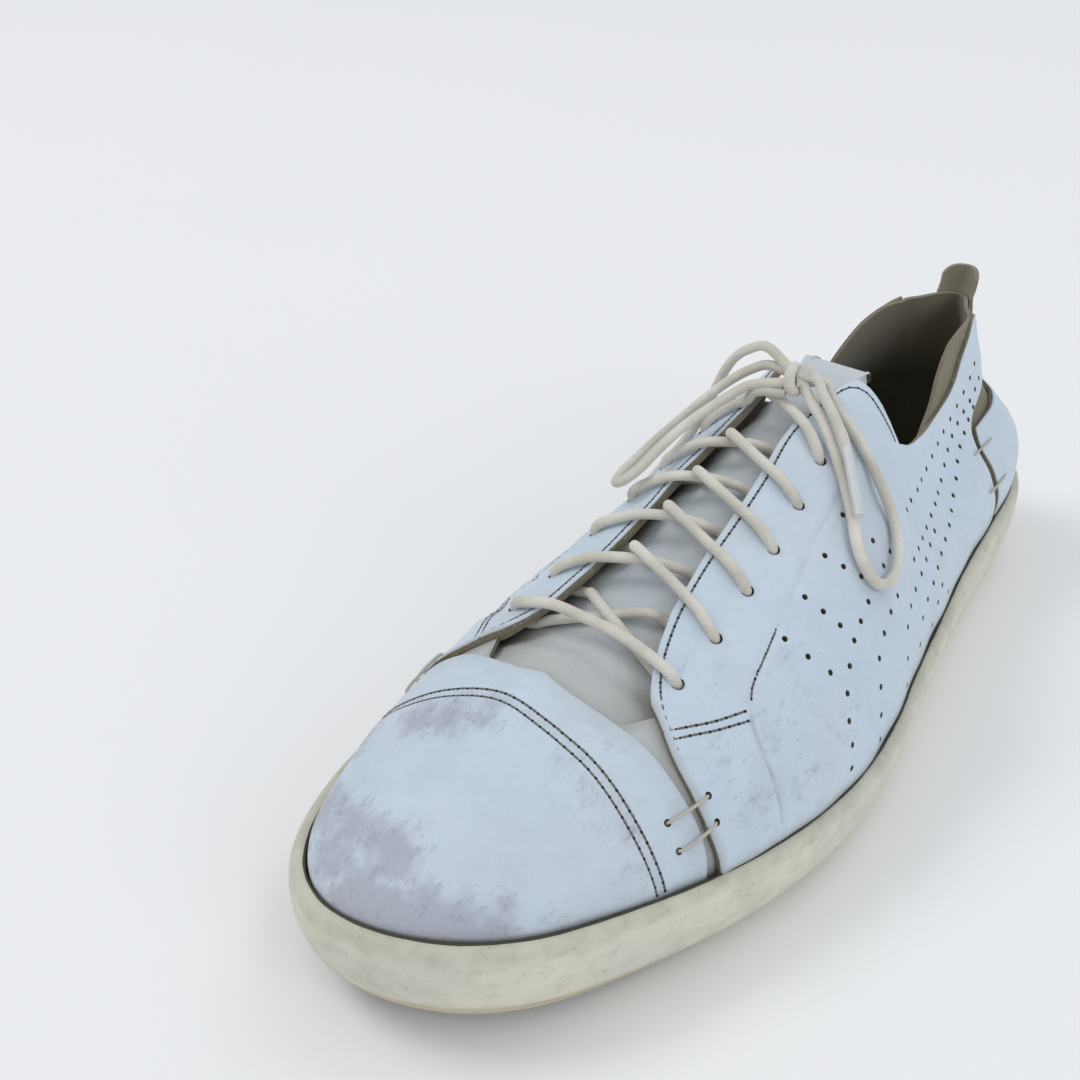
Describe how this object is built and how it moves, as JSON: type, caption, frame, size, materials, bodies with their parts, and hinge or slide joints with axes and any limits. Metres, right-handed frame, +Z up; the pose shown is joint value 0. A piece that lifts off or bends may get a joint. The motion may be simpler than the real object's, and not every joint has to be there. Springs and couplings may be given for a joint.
{
  "type": "sneaker",
  "caption": "Low worn leather sneaker for the left foot, with a perforated side, a cream rubber cup sole, a suede heel strip and round laces tied in a bow.",
  "frame": {"origin": "on the floor under the middle of the heel, 45 mm in front of the heel's hindmost point of the last", "axes": "+Z up, -Y towards the toe, +X towards the outer side of this left shoe"},
  "size_m": [0.11, 0.3027, 0.1034],
  "materials": {
    "rubber": "matte cream rubber",
    "white_leather": "smooth worn white leather",
    "counter_leather": "smooth worn white leather",
    "tongue_leather": "soft greyish leather",
    "footbed": "olive brown lining",
    "suede": "olive brown suede",
    "lace": "round woven cotton cord",
    "aglet": "pale plastic tube"
  },
  "bodies": {
    "root": {"sole": "rubber", "upper": "white_leather", "tongue": "tongue_leather", "insole": "footbed", "heel_counter": "counter_leather", "heel_strip": "suede", "lace_bar": "lace", "lace_cross_1": "lace", "lace_cross_2": "lace", "lace_cross_3": "lace", "lace_cross_4": "lace", "lace_cross_5": "lace", "lace_top": "lace", "lace_knot": "lace", "lace_loop_left": "lace", "lace_loop_right": "lace", "lace_end_left": "lace", "lace_end_right": "lace", "aglet_left": "aglet", "aglet_right": "aglet"}
  },
  "joints": []
}
